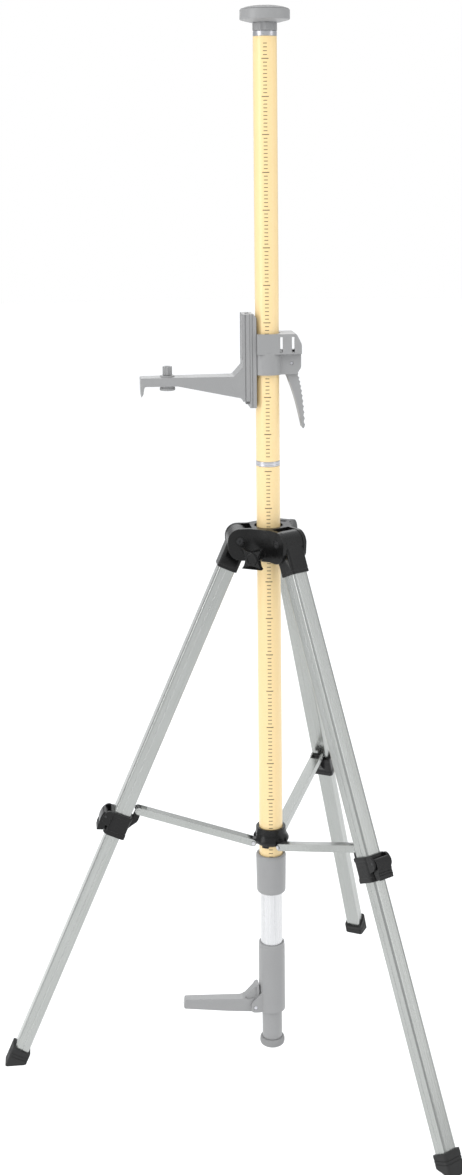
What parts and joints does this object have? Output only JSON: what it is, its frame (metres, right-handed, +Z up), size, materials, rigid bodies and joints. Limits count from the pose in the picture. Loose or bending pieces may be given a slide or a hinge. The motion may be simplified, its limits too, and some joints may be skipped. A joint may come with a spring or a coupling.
{
  "type": "laser level support pole with tripod",
  "caption": "Graduated floor-to-ceiling laser level pole with a clamp-on instrument arm, sprung foot pedal and ceiling jack, standing in a folding spreader tripod.",
  "frame": {"origin": "centre of the pole foot's flat underside, on the floor", "axes": "+Z up along the pole; the instrument arm and the foot pedal point along -X; the legs stand at 180, 300 and 60 degrees about +Z"},
  "size_m": [0.5577, 0.643, 1.42],
  "materials": {
    "yellow_paint": "pale yellow lacquer with printed graduations",
    "grey_plastic": "fine-grained grey moulding",
    "black_plastic": "satin black moulding",
    "leg_aluminium": "satin anodised extrusion",
    "tube_aluminium": "bright drawn tube",
    "steel": "zinc-plated steel",
    "black_steel": "blackened steel",
    "black_rubber": "matt moulded rubber",
    "grey_rubber": "matt grey rubber"
  },
  "bodies": {
    "pole": {"lower_pole_tube": "yellow_paint", "upper_pole_tube": "yellow_paint", "pole_coupler": "steel", "top_bush": "steel", "collet_ring": "grey_plastic"},
    "jack_nut": {"jack_nut": "grey_plastic"},
    "jack_rod": {"jack_rod": "steel"},
    "ceiling_disc": {"ceiling_disc": "grey_plastic", "ceiling_pad": "grey_rubber"},
    "twist_collar": {"twist_collar": "grey_plastic"},
    "inner_tube": {"inner_tube": "tube_aluminium", "foot_sleeve": "grey_plastic", "pedal_pin": "steel", "foot_spring": "steel"},
    "foot_pedal": {"foot_pedal": "grey_plastic"},
    "foot": {"foot_tube": "grey_plastic", "foot_pad": "grey_rubber"},
    "hub": {"spreader_hub": "black_plastic", "arm1_pin": "steel", "arm2_pin": "steel", "arm3_pin": "steel"},
    "head": {"head_casting": "black_plastic", "head_pressure_pad": "steel", "leg1_pivot_bolt": "black_steel", "leg2_pivot_bolt": "black_steel", "leg3_pivot_bolt": "black_steel"},
    "head_knob": {"head_knob": "black_plastic"},
    "bracket_liner": {"bracket_liner": "grey_plastic"},
    "bracket": {"bracket_body": "grey_plastic", "bracket_rail": "grey_plastic", "trigger_pin": "steel", "trigger_spring": "steel"},
    "clamp_trigger": {"clamp_trigger": "grey_plastic"},
    "jaw_pad": {"jaw_pad": "black_rubber"},
    "instrument_arm": {"instrument_arm": "grey_plastic"},
    "thumb_screw": {"thumb_screw": "grey_plastic"},
    "leg1": {"leg1_knuckle": "black_plastic", "leg1_upper_tube": "leg_aluminium", "leg1_clamp_collar": "black_plastic", "leg1_lever_pin": "black_steel"},
    "leg1_lower": {"leg1_lower_tube": "leg_aluminium", "leg1_boot": "black_rubber"},
    "leg1_lever": {"leg1_clamp_lever": "black_plastic"},
    "arm1": {"arm1_channel": "leg_aluminium"},
    "leg2": {"leg2_knuckle": "black_plastic", "leg2_upper_tube": "leg_aluminium", "leg2_clamp_collar": "black_plastic", "leg2_lever_pin": "black_steel"},
    "leg2_lower": {"leg2_lower_tube": "leg_aluminium", "leg2_boot": "black_rubber"},
    "leg2_lever": {"leg2_clamp_lever": "black_plastic"},
    "arm2": {"arm2_channel": "leg_aluminium"},
    "leg3": {"leg3_knuckle": "black_plastic", "leg3_upper_tube": "leg_aluminium", "leg3_clamp_collar": "black_plastic", "leg3_lever_pin": "black_steel"},
    "leg3_lower": {"leg3_lower_tube": "leg_aluminium", "leg3_boot": "black_rubber"},
    "leg3_lever": {"leg3_clamp_lever": "black_plastic"},
    "arm3": {"arm3_channel": "leg_aluminium"}
  },
  "joints": [
    {"name": "jack_turn", "type": "hinge", "parent": "pole", "child": "jack_nut", "pos_m": [0, 0, 1.39], "axis": [0, 0, 1], "range_deg": [0, 2160]},
    {"name": "jack_rise", "type": "slide", "parent": "pole", "child": "jack_rod", "axis": [0, 0, 1], "range_m": [0, 0.03]},
    {"name": "disc_swivel", "type": "hinge", "parent": "jack_rod", "child": "ceiling_disc", "pos_m": [0, 0, 1.398], "axis": [0, 0, 1], "continuous": true},
    {"name": "collar_twist", "type": "hinge", "parent": "pole", "child": "twist_collar", "pos_m": [0, 0, 0.243], "axis": [0, 0, 1], "range_deg": [0, 75]},
    {"name": "tube_extend", "type": "slide", "parent": "pole", "child": "inner_tube", "axis": [0, 0, -1], "range_m": [-0.065, 0.15]},
    {"name": "pedal_press", "type": "hinge", "parent": "inner_tube", "child": "foot_pedal", "pos_m": [-0.024, 0, 0.057], "axis": [0, -1, 0], "range_deg": [0, 15]},
    {"name": "foot_push", "type": "slide", "parent": "inner_tube", "child": "foot", "axis": [0, 0, -1], "range_m": [0, 0.008], "deforming": ["foot_spring"]},
    {"name": "tripod_height", "type": "slide", "parent": "pole", "child": "hub", "axis": [0, 0, 1], "range_m": [0, 0.04]},
    {"name": "fold", "type": "slide", "parent": "hub", "child": "head", "axis": [0, 0, 1], "range_m": [0, 0.08]},
    {"name": "knob_turn", "type": "hinge", "parent": "head", "child": "head_knob", "pos_m": [-0.025, -0.0433, 0.691], "axis": [-0.5, -0.866, 0], "continuous": true},
    {"name": "leg1_fold", "type": "hinge", "parent": "head", "child": "leg1", "pos_m": [-0.041, 0, 0.7075], "axis": [0, -1, 0], "range_deg": [0, 5.94]},
    {"name": "arm1_fold", "type": "hinge", "parent": "hub", "child": "arm1", "pos_m": [-0.025, 0, 0.287], "axis": [0, 1, 0], "range_deg": [0, 27.03]},
    {"name": "leg1_extend", "type": "slide", "parent": "leg1", "child": "leg1_lower", "axis": [0.4013, 0, 0.9159], "range_m": [0, 0.28]},
    {"name": "leg1_lever_open", "type": "hinge", "parent": "leg1", "child": "leg1_lever", "pos_m": [-0.22512, 0, 0.33836], "axis": [0, 1, 0], "range_deg": [0, 100]},
    {"name": "leg2_fold", "type": "hinge", "parent": "head", "child": "leg2", "pos_m": [0.0205, -0.03551, 0.7075], "axis": [0.866, 0.5, 0], "range_deg": [0, 5.94]},
    {"name": "arm2_fold", "type": "hinge", "parent": "hub", "child": "arm2", "pos_m": [0.0125, -0.02165, 0.287], "axis": [-0.866, -0.5, 0], "range_deg": [0, 27.03]},
    {"name": "leg2_extend", "type": "slide", "parent": "leg2", "child": "leg2_lower", "axis": [-0.2007, 0.3476, 0.9159], "range_m": [0, 0.28]},
    {"name": "leg2_lever_open", "type": "hinge", "parent": "leg2", "child": "leg2_lever", "pos_m": [0.11256, -0.19496, 0.33836], "axis": [-0.866, -0.5, 0], "range_deg": [0, 100]},
    {"name": "leg3_fold", "type": "hinge", "parent": "head", "child": "leg3", "pos_m": [0.0205, 0.03551, 0.7075], "axis": [-0.866, 0.5, 0], "range_deg": [0, 5.94]},
    {"name": "arm3_fold", "type": "hinge", "parent": "hub", "child": "arm3", "pos_m": [0.0125, 0.02165, 0.287], "axis": [0.866, -0.5, 0], "range_deg": [0, 27.03]},
    {"name": "leg3_extend", "type": "slide", "parent": "leg3", "child": "leg3_lower", "axis": [-0.2007, -0.3476, 0.9159], "range_m": [0, 0.28]},
    {"name": "leg3_lever_open", "type": "hinge", "parent": "leg3", "child": "leg3_lever", "pos_m": [0.11256, 0.19496, 0.33836], "axis": [0.866, -0.5, 0], "range_deg": [0, 100]},
    {"name": "bracket_height", "type": "slide", "parent": "pole", "child": "bracket_liner", "axis": [0, 0, 1], "range_m": [0, 0.33]},
    {"name": "bracket_swivel", "type": "hinge", "parent": "bracket_liner", "child": "bracket", "pos_m": [0, 0, 0.973], "axis": [0, 0, 1], "continuous": true},
    {"name": "trigger_squeeze", "type": "hinge", "parent": "bracket", "child": "clamp_trigger", "pos_m": [0.031, 0, 0.945], "axis": [0, 1, 0], "range_deg": [0, 12], "stiffness_Nm_per_rad": 0.3, "springref_deg": -11.46},
    {"name": "jaw_release", "type": "slide", "parent": "bracket", "child": "jaw_pad", "axis": [1, 0, 0], "range_m": [0, 0.001]},
    {"name": "arm_height", "type": "slide", "parent": "bracket", "child": "instrument_arm", "axis": [0, 0, 1], "range_m": [-0.009, 0.05]},
    {"name": "screw_turn", "type": "hinge", "parent": "instrument_arm", "child": "thumb_screw", "pos_m": [-0.1345, 0, 0.935], "axis": [0, 0, 1], "continuous": true}
  ],
  "couplings": [
    {"joint": "jack_turn", "follows": "jack_rise", "rad_per_m": 1256.6},
    {"joint": "pedal_press", "follows": "foot_push", "rad_per_m": 32.72},
    {"joint": "trigger_squeeze", "follows": "jaw_release", "rad_per_m": 209.4},
    {"joint": "leg1_fold", "follows": "fold", "rad_per_m": 1.296},
    {"joint": "arm1_fold", "follows": "fold", "rad_per_m": 5.896},
    {"joint": "leg2_fold", "follows": "fold", "rad_per_m": 1.296},
    {"joint": "arm2_fold", "follows": "fold", "rad_per_m": 5.896},
    {"joint": "leg3_fold", "follows": "fold", "rad_per_m": 1.296},
    {"joint": "arm3_fold", "follows": "fold", "rad_per_m": 5.896}
  ]
}
